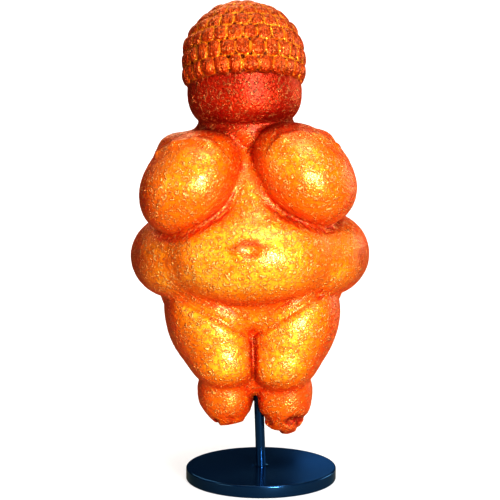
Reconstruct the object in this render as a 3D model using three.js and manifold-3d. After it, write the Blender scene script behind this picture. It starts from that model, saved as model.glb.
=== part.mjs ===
// Venus figurine: a small cast figure of a broad, heavy woman, held up by a thin rod in a round disc.
// Millimetres, +Z up, the figure faces -Y. The origin is the middle of the disc's underside.
import * as THREE from 'three';
import { mergeVertices } from 'three/addons/utils/BufferGeometryUtils.js';
import { triTable } from 'three/addons/objects/MarchingCubes.js';
import Module from 'manifold-3d';

const wasm = await Module();
wasm.setup();

// Driving sizes
const unit = 1.11; // millimetres to one unit of the carving's sizes
const carvingLift = 10; // from the disc's top up to the carving's zero
const carvingAside = 1.0; // the figure's middle stands this far to the viewer's left of the rod
const carvingSetBack = 1.6; // and this far behind it
const leanAngle = 1.9; // degrees, the rod and the figure together, towards -X
const rodDiameter = 2.5;
const rodSeat = 11; // length of rod held in the web between the legs
const rodClearance = 0.3; // round the rod and past each of its ends
const rodEndBevel = 0.3;
const cutterReach = 5; // how far a cutting cylinder stands clear of the face that it cuts into
const baseDiameter = 39.5;
const baseThickness = 3.2;
const baseEdgeRadius = 0.4;
const socketFloor = 1.0; // metal left under the rod

// Fineness of the faceted surfaces
const bodyCell = 2.7; // size of the cells that the carving is cut into, in its units
const relaxPasses = 4;
const softening = 0.3; // of the way to the middle of its neighbours that a point moves at the end
const turnPasses = 12;
const baseSides = 48;
const rodSides = 16;

// How far, in the carving's units, a ray looks for its surface: from outside or the skull's middle,
// and from a breast's middle
const farReach = 30;
const nearReach = 20;

// The carving is in units of its own, near a hundredth of its height: x to the viewer's right,
// y back, z up from a zero a little above the ends of the leg stubs.
const legCleft = 6.1; // where the legs part and the rod goes in
const crease = 1.6; // blend between two masses that meet in a fold

// Masses of the carving: where each sits, its half sizes, its turn in degrees about Y, the blend to
// those before it and, for one with a twin on the other side, their seam and how far each is raised
const torsoMasses = {
  hips: { at: [0, 1.5, 41.5], size: [25.5, 15.5, 11.6] },
  belly: { at: [0, -7.0, 42.9], size: [20.5, 15.8, 12.3], blend: 5 },
  flanks: { at: [18.2, 1.5, 41.3], size: [9.8, 13, 9.6], seam: 4, blend: 5, raised: [0.4, -0.4] },
  chest: { at: [0, 1.0, 56.5], size: [20, 12, 15], blend: 5 },
  upperBelly: { at: [0, -6.2, 54.0], size: [9.6, 9.8, 12.5], blend: 4 },
  shoulders: { at: [11.4, 2.5, 64.0], size: [10.3, 8.4, 7.2], turn: 26, seam: 4, blend: 4 },
  neck: { at: [0, -1, 71], size: [11.6, 9.4, 7], blend: 2 },
  buttocks: { at: [10.8, 8.8, 33.5], size: [11.6, 10.6, 11], blend: 2.5 },
};
const breastMasses = {
  breasts: { at: [13.0, -10.2, 60.4], size: [13.6, 11.6, 10.2], turn: 46, raised: [-0.5, 0.5] },
};
const legMasses = {
  thighs: { at: [8.9, -0.5, 26.0], size: [11.5, 12.8, 15.6], turn: 20, raised: [0.5, -0.5] },
  knees: { at: [6.5, -4.6, 16.2], size: [7.4, 7.6, 6.0], blend: 4, raised: [0.6, -0.4] },
  calves: { at: [7.0, -1.0, 9.4], size: [6.9, 7.2, 7.2], raised: [0.6, -0.3] },
  shins: { at: [6.7, -1.0, 6.0], size: [6.4, 6.8, 6.0], raised: [1.2, -0.2] },
  stubs: { at: [6.4, -1.2, 1.8], size: [4.6, 4.8, 3.9], seam: 0.8, blend: 1.6, raised: [1.9, 0] },
  web: { at: [0, -0.5, 16.2], size: [4.8, 6.2, 9.6] },
  groin: { at: [0, -5.0, 31.6], size: [14.0, 7.1, 8.4] },
};
// Where the leg stubs are broken off: a point of each flat break and the way that it faces
const breaks = {
  left: [
    { at: [-5.5, -1, 1.5], facing: [0.12, -0.1, -1] },
    { at: [-10.9, -1, 3.6], facing: [-0.75, 0, -0.66] },
  ],
  right: [
    { at: [7.5, -1, -1.5], facing: [0.1, -0.1, -1] },
    { at: [5.0, -1, -0.7], facing: [-0.5, 0, -0.87] },
    { at: [10.5, -1, 0.2], facing: [0.75, 0, -0.66] },
  ],
};
const headMasses = {
  skull: { at: [0, -2.0, 86.6], size: [13.3, 14.2, 12.9] },
  face: { at: [0, -4.2, 78.8], size: [13.3, 11.4, 10.2], blend: 3 },
  nape: { at: [0, 2.5, 79], size: [11, 9, 8], blend: 4 },
};
const skull = headMasses.skull;
const breast = breastMasses.breasts;
// Where the head is cut off under the jaw
const chin = { at: [0, -4, 71.8], facing: [0, -0.16, -1], blend: 3 };
const upperArm = { shoulder: [16.9, 0.8, 66.4], elbow: [21.5, -3, 57.2], radii: [4, 3.4], blend: 3.5 };

const capPoleTilt = 14; // degrees, the cap sits back on the skull
const capRowStep = 15; // degrees of the skull from one row of knots to the next
const capRows = 7;
const knotWidth = 3.1;
const knotRise = 1.25; // above the skull
const grooveRise = 0.3; // between the knots
const knotFlat = 0.29; // half of a knot's flat top, as a share of its width or height
const capSink = 1.5; // how far the cap is let into the skull

// The forearm's way over a breast, as directions from the breast's middle, elbow first
const forearmWay = [
  [9.5, 7.6, -2.4],
  [10.6, 2.0, 3.4],
  [8.2, -3.0, 7.4],
  [3.4, -5.4, 9.4],
  [-1.4, -6.4, 9.6],
];
const forearmRadius = 1.5;
const forearmSinks = [2.2, 1.5, 0.9, 0.7, 0.7]; // how far its middle line lies under the breast's surface
const palmWay = [-4.4, -6.8, 8.4];
const fingertipWay = [-6.8, -7.2, 6.2];
const handSize = [2.9, 2.0, 1.6]; // half its length, width and thickness
const handSink = 0.8;

const navelAt = [0, 45.2];
const navelSize = [3.0, 1.9]; // half width and half height of its rim
const navelRim = 0.55;
const navelDepth = 0.9;

const radians = THREE.MathUtils.degToRad;

// Signed distance, near enough, from p to an ellipsoid turned by roll degrees about Y
function mass(p, [cx, cy, cz], [rx, ry, rz], roll = 0) {
  const c = Math.cos(radians(roll));
  const s = Math.sin(radians(roll));
  const x = (p.x - cx) * c - (p.z - cz) * s;
  const y = p.y - cy;
  const z = (p.x - cx) * s + (p.z - cz) * c;
  const scaled = Math.hypot(x / rx, y / ry, z / rz) + 1e-9;
  const slope = Math.hypot(x / rx ** 2, y / ry ** 2, z / rz ** 2) + 1e-9;
  return (scaled * (scaled - 1)) / slope;
}

// Distance from p to a round limb that tapers from one end to the other
function limb(p, from, to, radiusFrom, radiusTo) {
  const a = new THREE.Vector3(...from);
  const along = new THREE.Vector3(...to).sub(a);
  const t = THREE.MathUtils.clamp(p.clone().sub(a).dot(along) / along.lengthSq(), 0, 1);
  return a.addScaledVector(along, t).distanceTo(p) - THREE.MathUtils.lerp(radiusFrom, radiusTo, t);
}

// Joins two masses; a wide blend melts them together, a narrow one leaves a crease
function join(a, b, blend) {
  const h = THREE.MathUtils.clamp(0.5 + (0.5 * (b - a)) / blend, 0, 1);
  return THREE.MathUtils.lerp(b, a, h) - blend * h * (1 - h);
}

// Masses joined one after another; one that stands off the middle has a twin on the other side
function melted(p, masses) {
  const mirrored = new THREE.Vector3(-p.x, p.y, p.z);
  let d = Infinity;
  for (const one of Object.values(masses)) {
    const { at: [x, y, z], size, turn = 0, seam = crease, blend = crease, raised = [0, 0] } = one;
    let here = mass(p, [x, y, z + raised[1]], size, turn);
    if (x > 0) here = join(mass(mirrored, [x, y, z + raised[0]], size, turn), here, seam);
    d = d === Infinity ? here : join(d, here, blend);
  }
  return d;
}

function torso(p) {
  return melted(p, torsoMasses);
}

function upperArms(p) {
  const { shoulder, elbow, radii } = upperArm;
  const mirrored = new THREE.Vector3(-p.x, p.y, p.z);
  return Math.min(limb(p, shoulder, elbow, ...radii), limb(mirrored, shoulder, elbow, ...radii));
}

function breasts(p) {
  return melted(p, breastMasses);
}

// How far p lies beyond a flat cut, on the side that it faces
function beyond(p, { at, facing }) {
  return p.clone().sub(new THREE.Vector3(...at)).dot(new THREE.Vector3(...facing).normalize());
}

function head(p) {
  return -join(-melted(p, headMasses), -beyond(p, chin), chin.blend);
}

// The legs down to where they are broken off
function legs(p) {
  const cuts = p.x < 0 ? breaks.left : breaks.right;
  return Math.max(melted(p, legMasses), ...cuts.map((one) => beyond(p, one)));
}

function figureField(p) {
  let d = torso(p);
  d = join(d, upperArms(p), upperArm.blend);
  d = join(d, breasts(p), crease);
  d = join(d, legs(p), crease);
  return join(d, head(p), crease);
}

// Where a ray from a point first meets a field's surface, going into it or out of it
function meet(field, from, direction, reach) {
  const steps = 160;
  const at = (t) => from.clone().addScaledVector(direction, t);
  const startsInside = field(from) < 0;
  for (let i = 1; i <= steps; i += 1) {
    if (field(at((reach * i) / steps)) < 0 !== startsInside) {
      let near = (reach * (i - 1)) / steps;
      let far = (reach * i) / steps;
      for (let k = 0; k < 20; k += 1) {
        const middle = (near + far) / 2;
        if (field(at(middle)) < 0 !== startsInside) far = middle;
        else near = middle;
      }
      return at((near + far) / 2);
    }
  }
  throw new Error('the ray meets no surface');
}

function gradient(field, p) {
  const step = 0.02;
  const slope = (axis) => {
    const ahead = p.clone();
    const behind = p.clone();
    ahead[axis] += step;
    behind[axis] -= step;
    return (field(ahead) - field(behind)) / (2 * step);
  };
  return new THREE.Vector3(slope('x'), slope('y'), slope('z'));
}

// Corners of a unit cell and the two corners of each of its edges, in the table's order
const cellCorners = [
  [0, 0, 0],
  [1, 0, 0],
  [1, 1, 0],
  [0, 1, 0],
  [0, 0, 1],
  [1, 0, 1],
  [1, 1, 1],
  [0, 1, 1],
];
const cellEdges = [
  [0, 1],
  [1, 2],
  [2, 3],
  [3, 0],
  [4, 5],
  [5, 6],
  [6, 7],
  [7, 4],
  [0, 4],
  [1, 5],
  [2, 6],
  [3, 7],
];

// Marching cubes over a box: points on the field's zero surface and the triangles between them
function polygonise(field, low, high, cell) {
  const counts = high.clone().sub(low).divideScalar(cell).ceil().addScalar(1).toArray();
  const number = (i, j, k) => (i * counts[1] + j) * counts[2] + k;
  const place = (i, j, k) => new THREE.Vector3(i, j, k).multiplyScalar(cell).add(low);
  const values = new Float32Array(counts[0] * counts[1] * counts[2]);
  for (let i = 0; i < counts[0]; i += 1) {
    for (let j = 0; j < counts[1]; j += 1) {
      for (let k = 0; k < counts[2]; k += 1) values[number(i, j, k)] = field(place(i, j, k));
    }
  }
  const points = [];
  const triangles = [];
  const known = new Map();
  const crossing = (a, b) => {
    const ends = [number(...a), number(...b)];
    const key = Math.min(...ends) * values.length + Math.max(...ends);
    if (!known.has(key)) {
      const t = values[ends[0]] / (values[ends[0]] - values[ends[1]]);
      points.push(place(...a).lerp(place(...b), THREE.MathUtils.clamp(t, 0.1, 0.9)));
      known.set(key, points.length - 1);
    }
    return known.get(key);
  };
  for (let i = 0; i < counts[0] - 1; i += 1) {
    for (let j = 0; j < counts[1] - 1; j += 1) {
      for (let k = 0; k < counts[2] - 1; k += 1) {
        const corners = cellCorners.map(([x, y, z]) => [i + x, j + y, k + z]);
        const code = corners.reduce((sum, c, bit) => sum + (values[number(...c)] < 0 ? 1 << bit : 0), 0);
        for (let n = code * 16; triTable[n] !== -1; n += 3) {
          const ring = [triTable[n], triTable[n + 1], triTable[n + 2]];
          triangles.push(ring.map((edge) => crossing(...cellEdges[edge].map((corner) => corners[corner]))));
        }
      }
    }
  }
  return { points, triangles };
}

// The box that holds all the masses with room to spare
function carvingBox(masses, room) {
  const box = new THREE.Box3();
  for (const { at: [x, y, z], size, raised = [0, 0] } of Object.values(masses)) {
    const reach = Math.max(...size) + Math.max(...raised.map(Math.abs)) + room;
    for (const side of [-1, 1]) {
      box.expandByPoint(new THREE.Vector3(side * x - reach, y - reach, z - reach));
      box.expandByPoint(new THREE.Vector3(side * x + reach, y + reach, z + reach));
    }
  }
  return box;
}

// Evens out the triangles: each point moves to the middle of its neighbours and back to the surface.
// The last, lighter move leaves out the way back, which softens the folds.
function relax(field, points, triangles) {
  const neighbours = points.map(() => new Set());
  for (const [a, b, c] of triangles) {
    neighbours[a].add(b).add(c);
    neighbours[b].add(c).add(a);
    neighbours[c].add(a).add(b);
  }
  let moved = points;
  const middleOf = (index) => {
    const middle = new THREE.Vector3();
    for (const other of neighbours[index]) middle.add(moved[other]);
    return middle.divideScalar(neighbours[index].size);
  };
  for (let pass = 0; pass < relaxPasses; pass += 1) {
    moved = moved.map((point, index) => {
      const settled = point.clone().lerp(middleOf(index), 0.5);
      for (let k = 0; k < 2; k += 1) {
        const slope = gradient(field, settled);
        settled.addScaledVector(slope, -field(settled) / Math.max(slope.lengthSq(), 0.25));
      }
      return settled;
    });
  }
  return moved.map((point, index) => point.clone().lerp(middleOf(index), softening));
}

// Turns the edge between two triangles wherever the surface bends less over the other diagonal, so
// that edges run along the folds
function turnEdges(points, triangles) {
  const key = (a, b) => a * points.length + b;
  const facing = ([a, b, c]) => {
    const ab = points[b].clone().sub(points[a]);
    return ab.cross(points[c].clone().sub(points[a])).normalize();
  };
  const turned = triangles.map((triangle) => [...triangle]);
  for (let pass = 0; pass < turnPasses; pass += 1) {
    const owner = new Map();
    turned.forEach((triangle, index) => {
      triangle.forEach((a, k) => owner.set(key(a, triangle[(k + 1) % 3]), index));
    });
    const settled = new Set();
    turned.forEach((triangle, index) => {
      for (let k = 0; k < 3 && !settled.has(index); k += 1) {
        const [a, b, c] = [triangle[k], triangle[(k + 1) % 3], triangle[(k + 2) % 3]];
        const other = owner.get(key(b, a));
        const d = turned[other].find((corner) => corner !== a && corner !== b);
        const around = [[c, b], [a, c], [d, a], [b, d]].map(([from, to]) => owner.get(key(from, to)));
        const touched = [index, other, ...around];
        if (touched.some((one) => settled.has(one))) continue;
        if (owner.has(key(c, d)) || owner.has(key(d, c))) continue;
        const [overBc, overCa, overAd, overDb] = around.map((one) => facing(turned[one]));
        const bend = (pairs) => pairs.reduce((sum, [m, n]) => sum + m.angleTo(n), 0);
        const [abc, bad] = [facing([a, b, c]), facing([b, a, d])];
        const [adc, dbc] = [facing([a, d, c]), facing([d, b, c])];
        const before = bend([[abc, bad], [abc, overBc], [abc, overCa], [bad, overAd], [bad, overDb]]);
        const after = bend([[adc, dbc], [adc, overCa], [adc, overAd], [dbc, overBc], [dbc, overDb]]);
        if (after < before - 0.05 && adc.dot(abc) > 0.2 && dbc.dot(abc) > 0.2) {
          turned[index] = [a, d, c];
          turned[other] = [d, b, c];
          owner.set(key(d, c), index);
          owner.set(key(c, d), other);
          touched.forEach((one) => settled.add(one));
        }
      }
    });
  }
  return turned;
}

// A closed solid from points and triangles, turned outside out if need be
function solid(points, triangles) {
  let volume = 0;
  for (const [a, b, c] of triangles) volume += points[a].dot(points[b].clone().cross(points[c]));
  const outward = volume > 0 ? triangles : triangles.map(([a, b, c]) => [a, c, b]);
  const vertProperties = Float32Array.from(points.flatMap((point) => point.toArray()));
  const triVerts = Uint32Array.from(outward.flat());
  return new wasm.Manifold(new wasm.Mesh({ numProp: 3, vertProperties, triVerts }));
}

function solidOf(geometry) {
  const plain = geometry.clone();
  plain.deleteAttribute('normal');
  plain.deleteAttribute('uv');
  const merged = mergeVertices(plain, 1e-4);
  const position = merged.getAttribute('position');
  const points = [];
  for (let i = 0; i < position.count; i += 1) {
    points.push(new THREE.Vector3().fromBufferAttribute(position, i));
  }
  const triangles = [];
  for (let i = 0; i < merged.index.count; i += 3) {
    const corners = [0, 1, 2].map((corner) => merged.index.getX(i + corner));
    if (new Set(corners).size === 3) triangles.push(corners);
  }
  return solid(points, triangles);
}

function geometryOf(manifold) {
  const mesh = manifold.getMesh();
  const geometry = new THREE.BufferGeometry();
  const position = new Float32Array(mesh.numVert * 3);
  for (let i = 0; i < mesh.numVert; i += 1) {
    for (let axis = 0; axis < 3; axis += 1) {
      position[i * 3 + axis] = mesh.vertProperties[i * mesh.numProp + axis];
    }
  }
  geometry.setAttribute('position', new THREE.BufferAttribute(position, 3));
  geometry.setIndex([...mesh.triVerts]);
  geometry.computeVertexNormals();
  return geometry;
}

// A point of the cap: the pole leans back, and turn 0 is the front
function onCap(polar, turn, rise) {
  const outward = new THREE.Vector3(
    Math.sin(radians(polar)) * Math.sin(turn),
    -Math.sin(radians(polar)) * Math.cos(turn),
    Math.cos(radians(polar)),
  ).applyAxisAngle(new THREE.Vector3(1, 0, 0), -radians(capPoleTilt));
  return meet(head, new THREE.Vector3(...skull.at), outward, farReach).addScaledVector(outward, rise);
}

// Triangles between two rings of points with their own counts, as a zip closes
function zip(upper, lower, triangles) {
  let i = 0;
  let j = 0;
  const turnAt = (ring, index) => {
    const whole = Math.floor(index / ring.turns.length);
    return ring.turns[index % ring.turns.length] + whole;
  };
  const point = (ring, index) => ring.first + (index % ring.turns.length);
  while (i < upper.turns.length || j < lower.turns.length) {
    const upperNext = i < upper.turns.length ? turnAt(upper, i + 1) : Infinity;
    const lowerNext = j < lower.turns.length ? turnAt(lower, j + 1) : Infinity;
    if (upperNext <= lowerNext) {
      triangles.push([point(upper, i), point(lower, j), point(upper, i + 1)]);
      i += 1;
    } else {
      triangles.push([point(upper, i), point(lower, j), point(lower, j + 1)]);
      j += 1;
    }
  }
}

// The cap: rows of knots from the crown down, each row with its own count and half a knot askew of
// the last, in one closed shell that is let into the skull
function cap() {
  const points = [onCap(0, 0, knotRise)];
  const triangles = [];
  const rings = [];
  const addRing = (polar, turns, rise) => {
    rings.push({ first: points.length, turns });
    turns.forEach((turn, index) => points.push(onCap(polar, turn * 2 * Math.PI, rise(index))));
  };
  for (let row = 0; row <= capRows; row += 1) {
    const around = (2 * Math.PI * skull.size[0] * Math.sin(radians(capRowStep * row))) / knotWidth;
    const knots = Math.max(2, Math.round(around));
    const askew = (row % 2) / 2;
    const turns = [];
    for (let knot = 0; knot < knots; knot += 1) {
      for (const across of [0.5 - knotFlat, 0.5 + knotFlat, 1]) turns.push((knot + across - askew) / knots);
    }
    const swell = (index) => (row > 0 && index % 3 === 2 ? grooveRise : knotRise);
    if (row > 0) addRing(capRowStep * (row - knotFlat), turns, swell);
    addRing(capRowStep * (row + knotFlat), turns, swell);
    addRing(capRowStep * (row + 0.5), turns, () => grooveRise);
  }
  const edge = rings.at(-1);
  addRing(capRowStep * (capRows + 0.5), edge.turns, () => -capSink);
  const hem = rings.at(-1);
  const heart = points.push(new THREE.Vector3(...skull.at)) - 1;
  for (let i = 0; i < rings[0].turns.length; i += 1) {
    triangles.push([0, rings[0].first + i, rings[0].first + ((i + 1) % rings[0].turns.length)]);
  }
  for (let i = 1; i < rings.length; i += 1) zip(rings[i - 1], rings[i], triangles);
  for (let i = 0; i < hem.turns.length; i += 1) {
    triangles.push([hem.first + i, heart, hem.first + ((i + 1) % hem.turns.length)]);
  }
  return solid(points, triangles);
}

// A slim forearm and a plain mitten hand, lying along the top of one breast
function forearm(side) {
  const middle = new THREE.Vector3(side * breast.at[0], breast.at[1], breast.at[2]);
  const outwardOf = ([x, y, z]) => new THREE.Vector3(side * x, y, z).normalize();
  const onBreast = (way, sink) => {
    const outward = outwardOf(way);
    return meet(breasts, middle, outward, nearReach).addScaledVector(outward, -sink);
  };
  const circle = new THREE.EllipseCurve(0, 0, forearmRadius, forearmRadius, 0, 2 * Math.PI);
  const section = new THREE.Shape(circle.getPoints(7).slice(0, 7));
  const route = new THREE.CatmullRomCurve3(forearmWay.map((way, i) => onBreast(way, forearmSinks[i])));
  const tube = new THREE.ExtrudeGeometry(section, { steps: 12, extrudePath: route });
  const palm = onBreast(palmWay, handSink);
  const fingertips = onBreast(fingertipWay, handSink);
  const outward = outwardOf(palmWay);
  const across = outward.clone().cross(fingertips.clone().sub(palm)).normalize();
  const along = across.clone().cross(outward);
  const hand = new THREE.SphereGeometry(1, 10, 6);
  hand.scale(...handSize);
  hand.applyMatrix4(new THREE.Matrix4().makeBasis(along, across, outward));
  hand.translate(...palm.lerp(fingertips, 0.5).toArray());
  return solidOf(tube).add(solidOf(hand));
}

// An oval rim round a shallow dimple, square on the belly
function withNavel(body) {
  const front = new THREE.Vector3(navelAt[0], -farReach, navelAt[1]);
  const seat = meet(torso, front, new THREE.Vector3(0, 1, 0), nearReach);
  const rim = new THREE.TorusGeometry(1, navelRim / navelSize[1], 6, 14);
  rim.scale(navelSize[0], navelSize[1], navelSize[1]);
  rim.rotateX(Math.PI / 2);
  rim.translate(seat.x, seat.y, seat.z);
  const dimple = new THREE.SphereGeometry(1, 10, 6);
  dimple.scale(navelSize[0] * 0.7, navelDepth, navelSize[1] * 0.7);
  dimple.translate(seat.x, seat.y - 0.1, seat.z);
  return body.add(solidOf(rim)).subtract(solidOf(dimple));
}

// The rod's own axis is the leaning frame's Z, with its zero on the disc's top
const rodBottom = socketFloor - baseThickness + rodClearance;
const rodTop = carvingLift + legCleft * unit + rodSeat;

function upright(radius, bottom, top, sides) {
  const cylinder = new THREE.CylinderGeometry(radius, radius, top - bottom, sides);
  cylinder.rotateX(Math.PI / 2);
  cylinder.translate(0, 0, (top + bottom) / 2);
  return cylinder;
}

function figurine() {
  const box = carvingBox({ ...torsoMasses, ...breastMasses, ...legMasses, ...headMasses }, bodyCell);
  const { points, triangles } = polygonise(figureField, box.min, box.max, bodyCell);
  const evened = relax(figureField, points, triangles);
  let body = solid(evened, turnEdges(evened, triangles));
  body = body.add(cap());
  for (const side of [-1, 1]) body = body.add(forearm(side));
  body = withNavel(body);
  const placed = body.scale([unit, unit, unit]).translate([-carvingAside, carvingSetBack, carvingLift]);
  const boreRadius = rodDiameter / 2 + rodClearance;
  const bore = upright(boreRadius, carvingLift - cutterReach, rodTop + rodClearance, rodSides);
  return geometryOf(placed.subtract(solidOf(bore)));
}

function standRod() {
  const radius = rodDiameter / 2;
  const profile = [
    [0, rodBottom],
    [radius - rodEndBevel, rodBottom],
    [radius, rodBottom + rodEndBevel],
    [radius, rodTop - rodEndBevel],
    [radius - rodEndBevel, rodTop],
    [0, rodTop],
  ].map(([x, z]) => new THREE.Vector2(x, z));
  return new THREE.LatheGeometry(profile, rodSides).rotateX(Math.PI / 2);
}

function standBase() {
  const radius = baseDiameter / 2;
  const e = baseEdgeRadius;
  const rim = new THREE.Path();
  rim.moveTo(0, 0);
  rim.lineTo(radius - e, 0);
  rim.absarc(radius - e, e, e, -Math.PI / 2, 0);
  rim.absarc(radius - e, baseThickness - e, e, 0, Math.PI / 2);
  rim.lineTo(0, baseThickness);
  const disc = new THREE.LatheGeometry(rim.getPoints(2), baseSides).rotateX(Math.PI / 2);
  const socket = upright(rodDiameter / 2 + rodClearance, socketFloor - baseThickness, cutterReach, rodSides);
  socket.rotateY(-radians(leanAngle));
  socket.translate(0, 0, baseThickness);
  return geometryOf(solidOf(disc).subtract(solidOf(socket)));
}

// Colours and finish of the cast figure and of its painted stand
const castResin = new THREE.MeshStandardMaterial({ color: 0xe07a1f, roughness: 0.45, metalness: 0 });
const blackPaint = new THREE.MeshStandardMaterial({ color: 0x0a1320, roughness: 0.25, metalness: 0.1 });

function piece(name, geometry, material) {
  const mesh = new THREE.Mesh(geometry, material);
  mesh.name = name;
  return mesh;
}

const leaning = new THREE.Group();
leaning.position.z = baseThickness;
leaning.rotation.y = -radians(leanAngle);
leaning.add(piece('figurine', figurine(), castResin));
leaning.add(piece('stand_rod', standRod(), blackPaint));

const model = new THREE.Group();
model.add(leaning);
model.add(piece('stand_base', standBase(), blackPaint));

export default model;
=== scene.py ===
import math

import bpy
import numpy as np
from mathutils import Matrix, Vector, noise


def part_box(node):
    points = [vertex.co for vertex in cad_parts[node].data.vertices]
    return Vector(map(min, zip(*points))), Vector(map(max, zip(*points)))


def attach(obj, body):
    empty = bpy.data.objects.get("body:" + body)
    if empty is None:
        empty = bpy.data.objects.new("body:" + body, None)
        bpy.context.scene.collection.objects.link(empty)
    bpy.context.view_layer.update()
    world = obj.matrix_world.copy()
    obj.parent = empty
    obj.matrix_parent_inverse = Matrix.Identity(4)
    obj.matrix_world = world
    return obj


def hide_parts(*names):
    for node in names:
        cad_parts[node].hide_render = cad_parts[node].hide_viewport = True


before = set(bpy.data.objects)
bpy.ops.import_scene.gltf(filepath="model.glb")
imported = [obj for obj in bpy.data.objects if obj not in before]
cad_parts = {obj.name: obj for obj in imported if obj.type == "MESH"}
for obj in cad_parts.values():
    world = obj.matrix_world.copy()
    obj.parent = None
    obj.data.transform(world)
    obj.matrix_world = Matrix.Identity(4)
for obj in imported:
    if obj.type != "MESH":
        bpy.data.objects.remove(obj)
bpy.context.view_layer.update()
mm = 0.001
print("frame loaded:", sorted(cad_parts))


# The figure's carving, as masses that melt together or meet in folds

figure = {
    "unit": 1.11,  # millimetres to one unit of the carving
    "lift": 10.0,  # disc's top to the carving's zero
    "aside": 1.0,  # its middle stands this far to the viewer's left of the rod
    "setBack": 1.6,  # and this far behind it
    "lean": 1.9,  # degrees, with the rod, towards -X
    "fold": 0.7,  # in units, blend where two masses meet in a crease
    "trim": 0.26,  # in units, how far the skin lies inside the solid's, which leaves room for its relief
    "skinStep": 0.6,  # in units, grid of the carved skin
    "skinBox": ((-31, -27, -4), (31, 23, 102)),  # in units, that the grid fills
    "voxel": 0.32,  # grid of the fused skin
    "triangles": 190000,  # that the fused skin is thinned to
    "rodClearance": 0.3,
    "rodSeat": 11.0,
    "legCleft": 6.1,  # in units
}
unit = figure["unit"] * mm

stand = {
    "rodDiameter": 2.5,
    "rodBevel": 0.3,
    "socketFloor": 1.0,
    "socketPlay": 0.15,  # between the rod and its socket, as seen
    "socketLip": 0.1,
    "edgeRadius": 0.4,
    "sides": 160,
    "arcSteps": 6,
}

torsoMasses = (
    {"at": (0, 1.5, 41.5), "size": (25.5, 15.5, 11.6)},  # hips
    {"at": (0, -7.0, 42.9), "size": (20.5, 15.8, 12.3), "blend": 5},  # belly
    {  # flanks
        "at": (18.2, 1.5, 41.3), "size": (9.8, 13, 9.6), "seam": 4, "blend": 5, "raised": (0.4, -0.4),
    },
    {"at": (0, 1.0, 56.5), "size": (20, 12, 15), "blend": 5},  # chest
    {"at": (0, -6.2, 54.0), "size": (9.6, 9.8, 12.5), "blend": 4},  # upper belly
    {"at": (11.4, 2.5, 64.0), "size": (10.3, 8.4, 7.2), "turn": 26, "seam": 4, "blend": 4},  # shoulders
    {"at": (0, -1, 71), "size": (11.6, 9.4, 7), "blend": 2},  # neck
    {"at": (10.8, 8.8, 33.5), "size": (11.6, 10.6, 11), "blend": 2.5},  # buttocks
)
breastMasses = (
    {"at": (13.0, -10.2, 60.4), "size": (13.6, 11.6, 10.2), "turn": 46, "raised": (-0.5, 0.5)},
)
legMasses = (
    {"at": (8.9, -0.5, 26.0), "size": (11.5, 12.8, 15.6), "turn": 20, "raised": (0.5, -0.5)},  # thighs
    {"at": (6.5, -4.6, 16.2), "size": (7.4, 7.6, 6.0), "blend": 4, "raised": (0.6, -0.4)},  # knees
    {"at": (7.0, -1.0, 9.4), "size": (6.9, 7.2, 7.2), "raised": (0.6, -0.3)},  # calves
    {"at": (6.7, -1.0, 6.0), "size": (6.4, 6.8, 6.0), "blend": 1.6, "raised": (1.2, -0.2)},  # shins
    {  # stubs
        "at": (6.4, -1.2, 1.8), "size": (4.6, 4.8, 3.9), "blend": 1.6, "seam": 0.4, "raised": (1.9, 0),
    },
    {"at": (0, -0.5, 16.2), "size": (4.8, 6.2, 9.6)},  # web between the legs
    {"at": (0, -5.0, 31.6), "size": (14.0, 7.1, 8.4)},  # groin
)
# Where the leg stubs are broken off: a point of each flat break and the way that it faces
breaks = {
    -1: (
        ((-5.5, -1, 1.5), (0.12, -0.1, -1)),
        ((-10.9, -1, 3.6), (-0.75, 0, -0.66)),
    ),
    1: (
        ((7.5, -1, -1.5), (0.1, -0.1, -1)),
        ((5.0, -1, -0.7), (-0.5, 0, -0.87)),
        ((10.5, -1, 0.2), (0.75, 0, -0.66)),
    ),
}
# Fine carved lines, seen from the front: (x, z) of their ends, half width and depth
carvedLines = (
    {"ends": ((-15.5, 32.6), (-8.0, 28.6), (0, 23.8)), "width": 0.8, "depth": 0.8},
    {"ends": ((15.5, 32.6), (8.0, 28.6), (0, 23.8)), "width": 0.8, "depth": 0.8},
    {"ends": ((0, 24.6), (0, 8.0)), "width": 0.7, "depth": 0.6},
)
headMasses = (
    {"at": (0, -2.0, 86.6), "size": (13.3, 14.2, 12.9)},  # skull
    {"at": (0, -4.2, 78.8), "size": (13.3, 11.4, 10.2), "blend": 3},  # face
    {"at": (0, 2.5, 79), "size": (11, 9, 8), "blend": 4},  # nape
)
# Where the head is cut off under the jaw
chin = {"at": (0, -4, 71.8), "facing": (0, -0.16, -1), "blend": 2.4}
upperArm = {"shoulder": (16.9, 0.8, 66.4), "elbow": (21.5, -3, 57.2), "radii": (4.0, 3.4), "blend": 3.5}
forearm = {
    "way": ((9.5, 7.6, -2.4), (10.6, 2.0, 3.4), (8.2, -3.0, 7.4), (3.4, -5.4, 9.4), (-1.4, -6.4, 9.6)),
    "radii": (1.2, 1.4, 1.45, 1.4, 1.35),
    "sinks": (2.2, 1.4, 0.8, 0.55, 0.5),
    "handWay": ((-4.4, -6.8, 8.4), (-6.8, -7.2, 6.2)),
    "handRadii": (1.8, 1.3),
    "handSink": 0.8,
    "blend": 0.6,
}
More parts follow.
